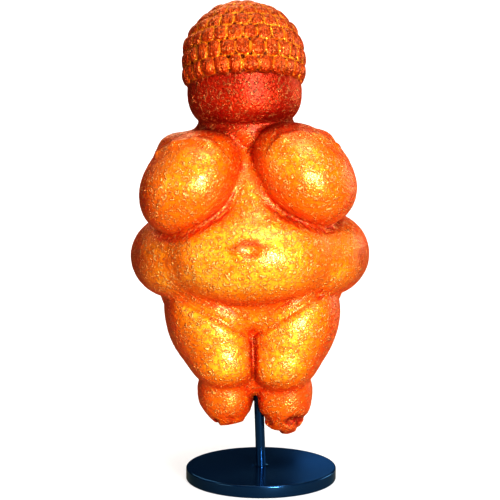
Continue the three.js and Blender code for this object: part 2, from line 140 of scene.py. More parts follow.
# Carved line that follows the breasts' edge on the body
welt = {"away": 1.3, "width": 0.35, "depth": 0.3}
navel = {
    "at": (0, 45.2),
    "size": (3.0, 1.9),
    "rim": 0.5,
    "rimBlend": 0.6,
    "dimple": 0.7,  # its share of the rim's width and height
    "depth": 0.6,
    "dimpleBlend": 0.3,
}
cap = {
    "poleTilt": 14,  # degrees, it sits back on the skull
    "rowStep": 15,  # degrees of the skull from one row to the next
    "rows": 7,
    "knotWidth": 3.1,  # in units
    "knotRise": 2.0,  # above its bed
    "bedSunk": 0.5,  # how far the skull is cut back under the knots
    "hemSoft": 3,  # degrees over which that fades at the hem
    "knotSink": 1.6,
    "plump": 1.17,  # the rounded knot's blank over the room that it has
    "square": 0.22,  # crease of the blank's edges, 0 a ball and 1 a box
    "vary": 0.1,
    "seed": 5,
}
skull = headMasses[0]
breast = breastMasses[0]
farAway = 99.0  # further than any of the figure's masses, in units


# Signed distance, near enough, to an ellipsoid turned about Y
def mass(p, at, size, turn=0.0):
    c = math.cos(math.radians(turn))
    s = math.sin(math.radians(turn))
    q = p - np.asarray(at, np.float32)
    local = np.stack([q[:, 0] * c - q[:, 2] * s, q[:, 1], q[:, 0] * s + q[:, 2] * c], 1)
    size = np.asarray(size, np.float32)
    scaled = np.linalg.norm(local / size, axis=1) + 1e-9
    slope = np.linalg.norm(local / size**2, axis=1) + 1e-9
    return scaled * (scaled - 1) / slope


def limb(p, start, end, startRadius, endRadius):
    start = np.asarray(start, np.float32)
    along = np.asarray(end, np.float32) - start
    t = np.clip((p - start) @ along / (along @ along), 0, 1)
    radius = startRadius + (endRadius - startRadius) * t
    return np.linalg.norm(p - start - t[:, None] * along, axis=1) - radius


def join(a, b, blend):
    h = np.clip(0.5 + 0.5 * (b - a) / blend, 0, 1)
    return b + (a - b) * h - blend * h * (1 - h)


def cut(a, b, blend):
    return -join(-a, b, blend)


# Masses joined one after another; one that stands off the middle has a twin on the other side
def melted(p, masses):
    mirrored = p * np.array([-1, 1, 1], np.float32)
    d = np.full(len(p), farAway, np.float32)
    for one in masses:
        x, y, z = one["at"]
        raised = one.get("raised", (0, 0))
        turn = one.get("turn", 0)
        here = mass(p, (x, y, z + raised[1]), one["size"], turn)
        if x:
            there = mass(mirrored, (x, y, z + raised[0]), one["size"], turn)
            here = join(there, here, one.get("seam", figure["fold"]))
        d = join(d, here, one.get("blend", figure["fold"]))
    return d


def torso(p):
    return melted(p, torsoMasses)


def breasts(p):
    return melted(p, breastMasses)


def upperArms(p):
    sides = []
    for side in (-1, 1):
        start, end = (np.array(upperArm[place]) * (side, 1, 1) for place in ("shoulder", "elbow"))
        sides.append(limb(p, start, end, *upperArm["radii"]))
    return np.minimum(*sides)


# The point of a breast's surface that lies in a direction from its middle, and that direction
def onBreast(way, side):
    middle = np.array([side * breast["at"][0], breast["at"][1], breast["at"][2]])
    outward = np.array([side * way[0], way[1], way[2]])
    outward = outward / np.linalg.norm(outward)
    reach = np.linspace(2, 20, 1800)
    d = breasts((middle + reach[:, None] * outward).astype(np.float32))
    return middle + reach[np.argmax(d > 0)] * outward, outward


def forearms(p):
    d = np.full(len(p), farAway, np.float32)
    for side in (-1, 1):
        route = []
        sinks = forearm["sinks"] + (forearm["handSink"],) * len(forearm["handWay"])
        for way, sink in zip(forearm["way"] + forearm["handWay"], sinks):
            seat, outward = onBreast(way, side)
            route.append(seat - sink * outward)
        radii = forearm["radii"] + forearm["handRadii"]
        for i in range(len(route) - 1):
            d = join(d, limb(p, route[i], route[i + 1], radii[i], radii[i + 1]), forearm["blend"])
    return d


# The navel on the field d: a rim round a dimple, square on the belly
def withNavel(p, d):
    x, z = navel["at"]
    line = np.stack([np.full(600, x), np.linspace(-30, -15, 600), np.full(600, z)], 1)
    y = line[np.argmax(torso(line.astype(np.float32)) < 0), 1]
    wide, tall = navel["size"]
    flat = np.hypot((p[:, 0] - x) / wide, (p[:, 2] - z) / tall)
    ring = np.hypot((flat - 1) * tall, p[:, 1] - y) - navel["rim"]
    d = join(d, ring, navel["rimBlend"])
    dimple = mass(p, (x, y - 0.1, z), (navel["dimple"] * wide, navel["depth"], navel["dimple"] * tall))
    return cut(d, dimple, navel["dimpleBlend"])


# 1 under the cap of knots, 0 beyond its hem
def underCap(p, soft):
    tilt = math.radians(cap["poleTilt"])
    toward = p - np.array(skull["at"])
    height = math.cos(tilt) * toward[:, 2] + math.sin(tilt) * toward[:, 1]
    polar = np.degrees(np.arccos(height / np.linalg.norm(toward, axis=1)))
    hem = (cap["rows"] + 0.6) * cap["rowStep"]
    return np.clip((hem - polar) / soft, 0, 1) * (p[:, 2] > 60)


def rodBore(p):
    top = figure["legCleft"] + (figure["rodSeat"] + figure["rodClearance"]) / figure["unit"]
    radius = (stand["rodDiameter"] / 2 + figure["rodClearance"]) / figure["unit"]
    aside = figure["aside"] / figure["unit"]
    setBack = figure["setBack"] / figure["unit"]
    return np.maximum(np.hypot(p[:, 0] - aside, p[:, 1] + setBack) - radius, p[:, 2] - top)


# How far p lies beyond a flat cut, on the side that it faces
def beyond(p, at, facing):
    return (p - np.array(at)) @ (np.array(facing) / np.linalg.norm(facing))


# The legs down to where they are broken off
def legs(p):
    d = melted(p, legMasses)
    for side, cuts in breaks.items():
        own = p[:, 0] * side > 0
        for at, facing in cuts:
            d = np.where(own, np.maximum(d, beyond(p, at, facing)), d)
    return d


def lineDepth(p):
    depth = np.zeros(len(p))
    for line in carvedLines:
        near = np.full(len(p), farAway)
        for start, end in zip(line["ends"], line["ends"][1:]):
            along = np.subtract(end, start)
            flat = p[:, [0, 2]] - np.array(start)
            t = np.clip(flat @ along / (along @ along), 0, 1)
            near = np.minimum(near, np.linalg.norm(flat - t[:, None] * along, axis=1))
        depth = np.maximum(depth, line["depth"] * np.exp(-(near / line["width"]) ** 2) * (p[:, 1] < 0))
    return depth


def figureField(p):
    fold = figure["fold"]
    d = torso(p)
    d = join(d, upperArms(p), upperArm["blend"])
    bust = breasts(p)
    d = d + welt["depth"] * np.exp(-((bust - welt["away"]) / welt["width"]) ** 2)
    d = join(d, bust, fold)
    d = join(d, forearms(p), forearm["blend"])
    d = join(d, legs(p), fold) + lineDepth(p)
    d = join(d, cut(melted(p, headMasses), -beyond(p, chin["at"], chin["facing"]), chin["blend"]), fold)
    trimmed = withNavel(p, d) + figure["trim"] + cap["bedSunk"] * underCap(p, cap["hemSoft"])
    return cut(trimmed, rodBore(p), 0.1)


# Carving to mesh

# Surface nets: one point in each cell that the surface passes through, and the quads between
def skinOf(field, low, high, step):
    counts = np.ceil((np.asarray(high) - low) / step).astype(int) + 1
    axes = [low[i] + step * np.arange(counts[i]) for i in range(3)]
    values = np.empty(counts, np.float32)
    for i, x in enumerate(axes[0]):
        sheet = np.stack(np.meshgrid([x], axes[1], axes[2], indexing="ij"), -1).reshape(-1, 3)
        values[i] = field(sheet.astype(np.float32)).reshape(counts[1], counts[2])
    inside = values < 0
    cells = tuple(counts - 1)
    corners = [(a, b, c) for a in (0, 1) for b in (0, 1) for c in (0, 1)]
    within = np.zeros(cells, np.uint8)
    for a, b, c in corners:
        within += inside[a:a + cells[0], b:b + cells[1], c:c + cells[2]]
    active = (within > 0) & (within < 8)
    number = np.full(cells, -1)
    number[active] = np.arange(active.sum())
    at = np.argwhere(active)
    corner = {o: values[at[:, 0] + o[0], at[:, 1] + o[1], at[:, 2] + o[2]] for o in corners}
    total = np.zeros((len(at), 3))
    count = np.zeros(len(at))
    for axis in range(3):
        for start in (o for o in corners if o[axis] == 0):
            end = tuple(1 if k == axis else start[k] for k in range(3))
            crossed = (corner[start] < 0) != (corner[end] < 0)
            gap = np.where(crossed, corner[start] - corner[end], 1)
            point = np.tile(np.array(start, float), (len(at), 1))
            point[:, axis] = corner[start] / gap
            total[crossed] += point[crossed]
            count += crossed
    points = np.asarray(low) + step * (at + total / count[:, None])
    quads = []
    for axis in range(3):
        u, v = [(1, 2), (2, 0), (0, 1)][axis]
        first = [slice(1, n) for n in cells]
        first[axis] = slice(0, cells[axis])
        second = list(first)
        second[axis] = slice(1, cells[axis] + 1)
        crossed = inside[tuple(first)] != inside[tuple(second)]
        edges = np.argwhere(crossed) + np.array([part.start for part in first])
        leaving = inside[edges[:, 0], edges[:, 1], edges[:, 2]]
        ring = []
        for du, dv in ((1, 1), (0, 1), (0, 0), (1, 0)):
            cell = edges.copy()
            cell[:, u] -= du
            cell[:, v] -= dv
            ring.append(number[cell[:, 0], cell[:, 1], cell[:, 2]])
        ring = np.stack(ring, 1)
        ring[~leaving] = ring[~leaving][:, ::-1]
        quads.append(ring)
    return points, np.concatenate(quads)


def newObject(name, mesh):
    piece = bpy.data.objects.new(name, mesh)
    bpy.context.scene.collection.objects.link(piece)
    return piece


def meshOf(name, points, faces):
    mesh = bpy.data.meshes.new(name)
    mesh.from_pydata(np.asarray(points).tolist(), [], np.asarray(faces).tolist())
    mesh.update()
    return mesh


def pointsOf(mesh):
    co = np.empty(len(mesh.vertices) * 3, np.float32)
    mesh.vertices.foreach_get("co", co)
    return co.reshape(-1, 3)


# The evaluated mesh of an object, as a plain mesh
def finished(piece):
    bpy.context.view_layer.update()
    graph = bpy.context.evaluated_depsgraph_get()
    return bpy.data.meshes.new_from_object(piece.evaluated_get(graph))


points, quads = skinOf(figureField, *figure["skinBox"], figure["skinStep"])
bareFigure = newObject("bareFigure", meshOf("bareFigure", points * unit, quads))
print("carved skin:", len(quads), "faces")


# Geometry Nodes helpers

# A node tree with its nodes made and linked by short calls
class Tree:
    def __init__(self, tree):
        self.tree = tree

    def add(self, kind, inputs=None, **settings):
        node = self.tree.nodes.new(kind)
        for key, value in settings.items():
            setattr(node, key, value)
        for key, value in (inputs or {}).items():
            socket = node.inputs[key]
            if isinstance(value, bpy.types.NodeSocket):
                self.tree.links.new(value, socket)
            else:
                socket.default_value = value
        return node

    def math(self, operation, a, b=0.0):
        return self.add("ShaderNodeMath", {0: a, 1: b}, operation=operation).outputs[0]

    def times(self, a, b):
        return self.math("MULTIPLY", a, b)

    def plus(self, a, b):
        return self.math("ADD", a, b)

    def vector(self, operation, a, b):
        return self.add("ShaderNodeVectorMath", {0: a, 1: b}, operation=operation).outputs[0]

    def scaled(self, vector, scale):
        return self.add("ShaderNodeVectorMath", {0: vector, "Scale": scale}, operation="SCALE").outputs[0]

    def turned(self, vector, angle, axis):
        inputs = {"Vector": vector, "Angle": angle}
        return self.add("ShaderNodeVectorRotate", inputs, rotation_type=axis).outputs[0]


def geometryTree(name, sockets):
    group = bpy.data.node_groups.new(name, "GeometryNodeTree")
    group.interface.new_socket("Geometry", in_out="OUTPUT", socket_type="NodeSocketGeometry")
    for label, kind in sockets:
        group.interface.new_socket(label, in_out="INPUT", socket_type="NodeSocket" + kind)
    return group


# Runs a tree with these values for its named inputs, and gives the plain mesh
def grow(name, group, values, source=None):
    holder = newObject(name, source or bpy.data.meshes.new(name))
    modifier = holder.modifiers.new(name, "NODES")
    modifier.node_group = group
    for item in group.interface.items_tree:
        if item.in_out == "INPUT" and item.name in values:
            modifier[item.identifier] = values[item.name]
    mesh = finished(holder)
    bpy.data.objects.remove(holder)
    return mesh


# The cap of knots

def knotRowTree():
    group = geometryTree("knotRow", [
        ("Skull", "Object"), ("Centre", "Vector"), ("Pole tilt", "Float"), ("Polar", "Float"),
        ("Knots", "Int"), ("Askew", "Float"), ("Knot size", "Vector"), ("Lift", "Float"),
        ("Square", "Float"), ("Vary", "Float"), ("Seed", "Int"), ("Material", "Material"),
    ])
    t = Tree(group)
    given = t.add("NodeGroupInput").outputs
    index = t.add("GeometryNodeInputIndex").outputs[0]
    share = t.math("DIVIDE", t.plus(index, given["Askew"]), given["Knots"])
    turn = t.times(share, 2 * math.pi)
    sinTurn = t.math("SINE", turn)
    cosTurn = t.math("COSINE", turn)
    sinPolar = t.math("SINE", given["Polar"])
    outward = t.add("ShaderNodeCombineXYZ", {
        "X": t.times(sinPolar, sinTurn),
        "Y": t.times(t.times(sinPolar, cosTurn), -1),
        "Z": t.math("COSINE", given["Polar"]),
    }).outputs[0]
    along = t.add("ShaderNodeCombineXYZ", {"X": cosTurn, "Y": sinTurn}).outputs[0]
    back = t.times(given["Pole tilt"], -1)
    outward = t.turned(outward, back, "X_AXIS")
    along = t.turned(along, back, "X_AXIS")
    skullSkin = t.add("GeometryNodeObjectInfo", {"Object": given["Skull"]}).outputs["Geometry"]
    hit = t.add("GeometryNodeRaycast", {
        "Target Geometry": skullSkin,
        "Source Position": given["Centre"],
        "Ray Direction": outward,
        "Ray Length": 1.0,
    }).outputs["Hit Position"]
    seat = t.vector("ADD", hit, t.scaled(outward, given["Lift"]))
    row = t.add("GeometryNodeMeshLine", {"Count": given["Knots"], "Offset": (0, 0, 0)}).outputs[0]
    row = t.add("GeometryNodeSetPosition", {"Geometry": row, "Position": seat}).outputs[0]
    blank = t.add("GeometryNodeMeshCube", {"Size": (1, 1, 1)}).outputs["Mesh"]
    blank = t.add("GeometryNodeSubdivisionSurface", {
        "Mesh": blank, "Level": 3, "Edge Crease": given["Square"],
    }).outputs[0]
    low = t.math("SUBTRACT", 1.0, given["Vary"])
    high = t.plus(1.0, given["Vary"])
    limits = {0: low, 1: high, "Seed": given["Seed"]}
    vary = t.add("FunctionNodeRandomValue", limits, data_type="FLOAT_VECTOR").outputs[0]
    axes = {0: outward, 1: along}
    facing = t.add("FunctionNodeAxesToRotation", axes, primary_axis="Z", secondary_axis="X").outputs[0]
    knots = t.add("GeometryNodeInstanceOnPoints", {
        "Points": row,
        "Instance": blank,
        "Rotation": facing,
        "Scale": t.vector("MULTIPLY", given["Knot size"], vary),
    }).outputs[0]
    knots = t.add("GeometryNodeRealizeInstances", {0: knots}).outputs[0]
    knots = t.add("GeometryNodeSetMaterial", {"Geometry": knots, "Material": given["Material"]}).outputs[0]
    t.add("NodeGroupOutput", {0: knots})
    return group


# All the rows' knots as one list of points and faces, crown first
def capOfKnots(material):
    tree = knotRowTree()
    points = []
    faces = []
    height = cap["rowStep"] * math.radians(1) * np.mean(skull["size"])
    for row in range(cap["rows"] + 1):
        polar = math.radians(cap["rowStep"] * row)
        around = 2 * math.pi * skull["size"][0] * math.sin(polar)
        knots = max(1, round(around / cap["knotWidth"]))
        width = around / knots if row else cap["knotWidth"] * 1.1
        size = np.array([width * cap["plump"], height * cap["plump"], cap["knotRise"] + cap["knotSink"]])
        mesh = grow("knotRow", tree, {
            "Skull": bareFigure,
            "Centre": tuple(np.array(skull["at"]) * unit),
            "Pole tilt": math.radians(cap["poleTilt"]),
            "Polar": polar,
            "Knots": knots,
            "Askew": (row % 2) / 2,
            "Knot size": tuple(size * unit),
            "Lift": (cap["knotRise"] - cap["knotSink"]) / 2 * unit,
            "Square": cap["square"],
            "Vary": cap["vary"],
            "Seed": cap["seed"] + row,
            "Material": material,
        })
        faces += [[corner + len(points) for corner in face.vertices] for face in mesh.polygons]
        points += pointsOf(mesh).tolist()
    print("cap:", cap["rows"] + 1, "rows,", len(faces), "faces")
    return points, faces


# Fused figure, its relief and the masks that its finish reads

relief = {
    "lump": 9.0,  # size of the hand-carved unevenness
    "lumpRise": 0.16,
    "pebble": 2.6,
    "pebbleRise": 0.045,
    "worm": 1.3,  # size of the winding grains
    "wormRise": 0.06,
    "chip": 2.8,  # worn ends of the legs
    "chipDepth": 1.4,
    "chipTop": 4.6,  # in units, above which the legs aren't chipped
    "chipFade": 2.5,  # in units below that, over which the chips set in
}
# How the masks read the carving, with heights and reaches in its units
masks = {
    "looks": ((0.6, 0.28), (1.2, 0.26), (2.5, 0.22), (5, 0.14), (9, 0.1)),  # reach out, and its share
    "broadPasses": 14,  # of smoothing, down to the broad form that a swell stands off
    "swellGain": 1.2,
    "navelSpread": (1.7, 1.1),  # half width and half height of its gilded floor
    "giltAndLightAbove": (3, 15),  # heights over which the gilding and painted light set in
    "giltBelow": (72, 66),  # and over which they stop under the chin
    "leastGiltAndLight": 0.2,
    "bellyRoll": (40, 7),  # height and spread of the roll under the belly, which gets gilding and painted light from below too
    "lookAhead": 8,  # from the skin to the place before or behind it that shows if others stand proud
    "chest": (50, 58),  # heights over which the gilding and painted light lessen, more on the breasts' undersides as painted shade
    "washAndShadeAbove": (69, 73),  # heights over which the face's red wash and painted shade under the cap set in
    "washBelow": (13, 10),  # and over which the shins'
    "washOnShins": 0.25,
}


# 0 up to the start and 1 from the end, whichever of them is the higher
def stepped(values, start, end):
    return np.clip((values - start) / (end - start), 0, 1)


def noiseAt(points, size, seed):
    shift = Vector((seed * 13.7, seed * 7.3, seed * 3.1))
    return np.array([noise.noise(Vector(p) / size + shift) for p in (points / mm).tolist()], np.float32)


# Values averaged with their neighbours along the mesh's edges
def smoothed(values, edges, passes):
    count = len(values)
    for _ in range(passes):
        total = values.copy()
        weight = np.ones(count, np.float32)
        for a, b in ((0, 1), (1, 0)):
            for axis in range(values.shape[1]):
                total[:, axis] += np.bincount(edges[:, a], values[edges[:, b], axis], count)
            weight += np.bincount(edges[:, a], minlength=count)
        values = total / weight[:, None]
    return values


def setMask(mesh, name, values):
    mask = mesh.attributes.new(name, "FLOAT", "POINT")
    mask.data.foreach_set("value", np.clip(values, 0, 1).astype(np.float32))


def normalsOf(mesh):
    normals = np.empty(len(mesh.vertices) * 3, np.float32)
    mesh.vertices.foreach_get("normal", normals)
    return normals.reshape(-1, 3)


# 1 where the carving lies open, less in its folds, from the field a little way out; the finish paints the
# folds darker red with it, partly the patina there and partly painted shade
def openness(points, normals):
    shut = np.zeros(len(points), np.float32)
    for reach, share in masks["looks"]:
        ahead = figureField((points / unit + reach * normals).astype(np.float32))
        shut += share * np.clip(1 - ahead / reach, 0, 1)
    return 1 - shut


def fusedFigure(material):
    capPoints, capFaces = capOfKnots(material)
    bare = pointsOf(bareFigure.data)
    faces = [list(face.vertices) for face in bareFigure.data.polygons]
    faces += [[corner + len(bare) for corner in face] for face in capFaces]
    mesh = bpy.data.meshes.new("fused")
    mesh.from_pydata(bare.tolist() + capPoints, [], faces)
    holder = newObject("fused", mesh)
    remesh = holder.modifiers.new("fuse", "REMESH")
    remesh.mode = "VOXEL"
    remesh.voxel_size = figure["voxel"] * mm
    mesh = finished(holder)
    bpy.data.objects.remove(holder)
    bpy.data.objects.remove(bareFigure)
    print("fused figure:", len(mesh.polygons), "faces")
    return mesh


# Fewer, longer triangles where the skin is plain
def thinned(mesh):
    holder = newObject("thinned", mesh)
    thin = holder.modifiers.new("thin", "DECIMATE")
    thin.ratio = figure["triangles"] / (2 * len(mesh.polygons))
    mesh = finished(holder)
    bpy.data.objects.remove(holder)
    print("thinned figure:", len(mesh.polygons), "faces")
    return mesh


# 1 on the knots, which stand off the carved skull
def cappedAt(points):
    off = np.abs(figureField((points / unit).astype(np.float32)))
    return np.clip(off * 2.5 - 0.3, 0, 1) * (points[:, 2] > 74 * unit)


def carveRelief(mesh):
    points = pointsOf(mesh)
    normals = normalsOf(mesh)
    z = points[:, 2] / unit
    worm = 1 - 2 * np.abs(noiseAt(points, relief["worm"], 1))
    rise = relief["lumpRise"] * noiseAt(points, relief["lump"], 2)
    rise += relief["pebbleRise"] * noiseAt(points, relief["pebble"], 3)
    rise += relief["wormRise"] * (worm - 0.5) * (1 - 0.5 * cappedAt(points))
    worn = np.clip((relief["chipTop"] - z) / relief["chipFade"], 0, 1)
    chip = np.clip(noiseAt(points, relief["chip"], 4) + 0.25, 0, 1)
    rise -= relief["chipDepth"] * worn * chip
    points = points + normals * (rise * mm)[:, None]
    mesh.vertices.foreach_set("co", points.ravel())
    mesh.update()
    print("relief carved")


# The masks that the finish reads: how open a place is (darker folds, partly patina and partly painted
# shade), how proud, and how far it is gilded and lit by painted light
def markFinish(mesh):
    points = pointsOf(mesh)
    normals = normalsOf(mesh)
    edges = np.empty(len(mesh.edges) * 2, np.int32)
    mesh.edges.foreach_get("vertices", edges)
    edges = edges.reshape(-1, 2)
    broad = smoothed(points, edges, masks["broadPasses"])
    swell = np.einsum("ij,ij->i", points - broad, normals) / mm
    z = points[:, 2] / unit
    wide, tall = masks["navelSpread"]
    away = np.hypot((points[:, 0] / unit - navel["at"][0]) / wide, (z - navel["at"][1]) / tall)
    navelFloor = np.exp(-away ** 4) * (normals[:, 1] < -0.3)
    capped = underCap(points / unit, cap["hemSoft"])
    washedAndShaded = stepped(z, *masks["washAndShadeAbove"]) + masks["washOnShins"] * stepped(z, *masks["washBelow"])
    setMask(mesh, "open", np.maximum(openness(points, normals), navelFloor))
    setMask(mesh, "swell", 0.5 + swell * masks["swellGain"])
    setMask(mesh, "cap", capped)
    setMask(mesh, "gilt", np.maximum(giltAndPaintedLightMask(points, normals), navelFloor))
    # red wash on the face and, weaker, on the shins; on the face it is also painted shade under the cap
    setMask(mesh, "washAndShade", (1 - capped) * washedAndShaded)


# How far the gilding and painted light go: gilding on faces to the front and back that nothing stands
# proud of, painted shade where something does, painted light on upward faces and under the belly, painted
# shade on the breasts' undersides
def giltAndPaintedLightMask(points, normals):
    z = points[:, 2] / unit
    up = normals[:, 2]
    square = np.abs(normals[:, 1])
    rollHeight, rollSpread = masks["bellyRoll"]
    underBelly = np.exp(-((z - rollHeight) / rollSpread) ** 2) * np.clip(-up, 0, 1)
    bare = square * 2.3 - 1.3 + 0.9 * np.clip(up, 0, 1) + 0.9 * underBelly
    ahead = points / unit + np.sign(normals) * (0, masks["lookAhead"], 0)
    proud = figureField(ahead.astype(np.float32)) / (masks["lookAhead"] * square + 0.1)
    bare = np.clip(bare, 0, 1) * np.clip((proud - 0.4) * 2.2, 0.1, 1)
    bare *= 1 - stepped(z, *masks["chest"]) * (0.3 + 0.5 * np.clip(-1.6 * up, 0, 1))
    body = stepped(z, *masks["giltAndLightAbove"]) * stepped(z, *masks["giltBelow"])
    return bare * (masks["leastGiltAndLight"] + (1 - masks["leastGiltAndLight"]) * body)


# From upright on the disc to the lean that figure and rod share
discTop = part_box("stand_base")[1].z
onStand = Matrix.Translation((0, 0, discTop)) @ Matrix.Rotation(-math.radians(figure["lean"]), 4, "Y")


# From the carving's own zero to its place on the stand
def lean(mesh):
    shift = Vector((-figure["aside"], figure["setBack"], figure["lift"])) * mm
    mesh.transform(onStand @ Matrix.Translation(shift))


# Shader groups

def ranged(t, value, low, high, toLow=0.0, toHigh=1.0):
    return t.add("ShaderNodeMapRange", {
        "Value": value, "From Min": low, "From Max": high, "To Min": toLow, "To Max": toHigh,
    }).outputs[0]


def noiseOf(t, place, scale, detail, roughness=0.5):
    inputs = {"Vector": place, "Scale": scale, "Detail": detail, "Roughness": roughness}
    return t.add("ShaderNodeTexNoise", inputs).outputs[0]


# Distance to the nearest of points strewn at random
def nearestCell(t, place, scale):
    inputs = {"Vector": place, "Scale": scale, "Randomness": 1.0}
    return t.add("ShaderNodeTexVoronoi", inputs).outputs["Distance"]


def shaderTree(name, inputs, outputs):
    group = bpy.data.node_groups.new(name, "ShaderNodeTree")
    for label, value in inputs.items():
        kind = "NodeSocketFloat" if isinstance(value, float) else "NodeSocketVector"
        socket = group.interface.new_socket(label, in_out="INPUT", socket_type=kind)
        socket.default_value = value
    for label in outputs:
        group.interface.new_socket(label, in_out="OUTPUT", socket_type="NodeSocketFloat")
    return group


# Fine tooth of a cast or sprayed surface, with pin holes
def fineGrainGroup():
    inputs = {"Vector": (0.0, 0.0, 0.0), "Size": 1.0, "Pits": 0.5}
    group = shaderTree("fineGrain", inputs, ["Height", "Mottle"])
    t = Tree(group)
    given = t.add("NodeGroupInput").outputs
    place = t.scaled(given["Vector"], t.math("DIVIDE", 1.0, given["Size"]))
    tooth = noiseOf(t, place, 1.0, 1.0, 0.4)
    cells = nearestCell(t, place, 0.45)
    pit = ranged(t, cells, 0.05, 0.3, -1.0, 0.0)
    height = t.plus(tooth, t.times(pit, given["Pits"]))
    mottle = noiseOf(t, place, 0.12, 4.0, 0.55)
    t.add("NodeGroupOutput", {"Height": height, "Mottle": mottle})
    return group


# Short bent grains standing on the skin, each with a dark rim round it, which the finish paints as shade
def bentGrainGroup():
    inputs = {"Vector": (0.0, 0.0, 0.0), "Size": 1.0, "Width": 0.3}
    group = shaderTree("bentGrain", inputs, ["Height", "Rim"])
    t = Tree(group)
    given = t.add("NodeGroupInput").outputs
    place = t.scaled(given["Vector"], t.math("DIVIDE", 1.0, given["Size"]))
    warp = t.add("ShaderNodeTexNoise", {"Vector": place, "Scale": 0.9, "Detail": 1.0}).outputs["Color"]
    bent = t.vector("ADD", place, t.scaled(t.vector("SUBTRACT", warp, (0.5, 0.5, 0.5)), 2.4))
    near = None
    for stretch in ((0.5, 1.0, 1.15), (1.15, 1.0, 0.5)):
        cells = nearestCell(t, t.vector("MULTIPLY", bent, stretch), 0.8)
        near = cells if near is None else t.math("MINIMUM", near, cells)
    ridge = t.add("ShaderNodeMapRange", {
        "Value": near, "From Min": t.times(given["Width"], 0.4), "From Max": given["Width"],
        "To Min": 1.0, "To Max": 0.0,
    }, interpolation_type="SMOOTHSTEP").outputs[0]
    spread = ranged(t, near, given["Width"], t.times(given["Width"], 1.7), 1.0, 0.0)
    t.add("NodeGroupOutput", {"Height": ridge, "Rim": t.math("SUBTRACT", spread, ridge)})
    return group


groups = {"fineGrain": fineGrainGroup(), "bentGrain": bentGrainGroup()}


def newMaterial(name):
    material = bpy.data.materials.new(name)
    material.use_nodes = True
    material.node_tree.nodes.clear()
    return material, Tree(material.node_tree)


# Object coordinates, in millimetres
def millimetres(t):
    place = t.add("ShaderNodeTexCoord").outputs["Object"]
    return t.add("ShaderNodeMapping", {"Vector": place, "Scale": (1000, 1000, 1000)}).outputs[0]


def useGroup(t, name, inputs):
    return t.add("ShaderNodeGroup", inputs, node_tree=groups[name]).outputs


def blendColours(t, factor, a, b):
    return t.add("ShaderNodeMix", {0: factor, 6: a, 7: b}, data_type="RGBA").outputs[2]


# 1 where the skin turns edge-on, for a duller gloss there
def edgeOn(t):
    facing = t.add("ShaderNodeLayerWeight", {"Blend": 0.5}).outputs["Facing"]
    return ranged(t, facing, *ranges["edgeOn"])


def bumpOf(t, height, strength, depth):
    inputs = {"Height": height, "Strength": strength, "Distance": depth * mm}
    return t.add("ShaderNodeBump", inputs).outputs[0]


resin = {
    "orange": (0.66, 0.065, 0.001, 1),
    # yellow of the gilding, also laid on as painted light
    "gilt": (0.91, 0.42, 0.004, 1),
    # pale straw yellow on the most gilded faces: painted highlight
    "strawHighlight": (0.96, 0.60, 0.06, 1),
    # pale grains: partly paint rubbed off their tops, partly painted glints, strongest where the gilding
    # and painted light are
    "rubbedGrainAndGlint": (1.0, 0.68, 0.28, 1),
    # dark rim round each grain: painted shade of the grain
    "grainRimShade": (0.62, 0.07, 0.002, 1),
    # dark red of the wash, also laid on as painted shade in the folds
    "washAndShade": (0.46, 0.010, 0.001, 1),
    # deep red of the deepest folds: partly patina, partly painted shade
    "deep": (0.32, 0.005, 0.001, 1),
    # dark brown in the grooves between the cap's knots: painted shade
    "grooveShade": (0.12, 0.02, 0.004, 1),
    "strand": (0.40, 0.038, 0.002, 1),
    "knotGold": (0.90, 0.36, 0.02, 1),
    "roughness": (0.24, 0.34),
    "foldDullness": 0.3,  # added to the roughness in the folds
    "edgeDullness": 0.45,  # added to the roughness where the skin turns edge-on
    "washDullness": 0.13,  # added to the roughness of the red face
    "washMetal": 0.65,
    "knotMetal": 0.5,
    "coat": 0.2,
    "coatOnHead": 0.05,
    "toothSize": 0.5,
    "pits": 0.6,
    "grainSize": 1.1,
    "grainWidth": 0.3,
    "fineSize": 0.66,
    "fineWidth": 0.3,
    "fineHeight": 0.7,
    "fineRim": 0.6,
    "washShade": 0.76,  # how much darker the wash and painted shade under the cap make the skin
    "strandScale": (1.6, 1.6, 0.35),
    "strandHeight": 2.4,
    "streakHeight": 1.2,
    "bump": 1.0,
    "bumpDepth": 0.34,
    "middle": -3.1,  # where the leaning figure's middle runs, at its belly
}
# Where each effect starts and is full on what it reads, and what it gives there if not 0 and 1
ranges = {
    "mottle": (0.3, 0.7, -0.06, 0.06),
    "swell": (0.3, 0.7, -0.12, 0.1),
    "washAndShade": (0.05, 0.4),
    "orange": (0.25, 0.65),
    "gilt": (0.6, 1.0),
    "strawHighlight": (0.6, 1.0, 0, 0.7),
    "grainRimShade": (0.0, 0.5, 0.25, 0.75),
    "rubbedGrainAndGlint": (0.0, 0.7, 0.3, 0.85),
    "scraped": (0.1, 0.5, 1.0, 0.0),
    "streak": (0.52, 0.66, 0, 0.3),
    "strand": (0.38, 0.6, 0.15, 0.85),
    "belowKnotTop": (0.62, 0.45),
    "aboveGroove": (0.2, 0.36),
    "knotGold": (0.36, 0.6, 0.3, 0.95),
    "grooveShade": (0.34, 0.12, 0, 0.9),
    "grainHeight": (0, 1, 1.0, 0.85),
    "toothHeight": (0, 1, 0.36, 0.62),
    "folds": (0.3, 0.7),
    "metal": (0.25, 0.7, 0.6, 0.2),
    "edgeOn": (0.6, 0.95),
}
streaks = {
    "slantOver": (52, 62),  # heights between which the slant turns over
    "slant": 0.8,
    "fineness": (2.2, 0.5, 0.35),  # across a streak, into the figure and along it
}


# Fine scraper streaks, which slant up towards the middle on the chest and away from it on the thighs
def toolStreaks(t, place):
    across, deep, up = t.add("ShaderNodeSeparateXYZ", {0: place}).outputs
    outFromMiddle = t.math("ABSOLUTE", t.math("SUBTRACT", across, resin["middle"]))
    slant = ranged(t, up, *streaks["slantOver"], -streaks["slant"], streaks["slant"])
    crossways = t.plus(up, t.times(slant, outFromMiddle))
    runs = t.add("ShaderNodeCombineXYZ", {"X": crossways, "Y": deep, "Z": outFromMiddle}).outputs[0]
    return noiseOf(t, t.vector("MULTIPLY", runs, streaks["fineness"]), 1.0, 2.0)


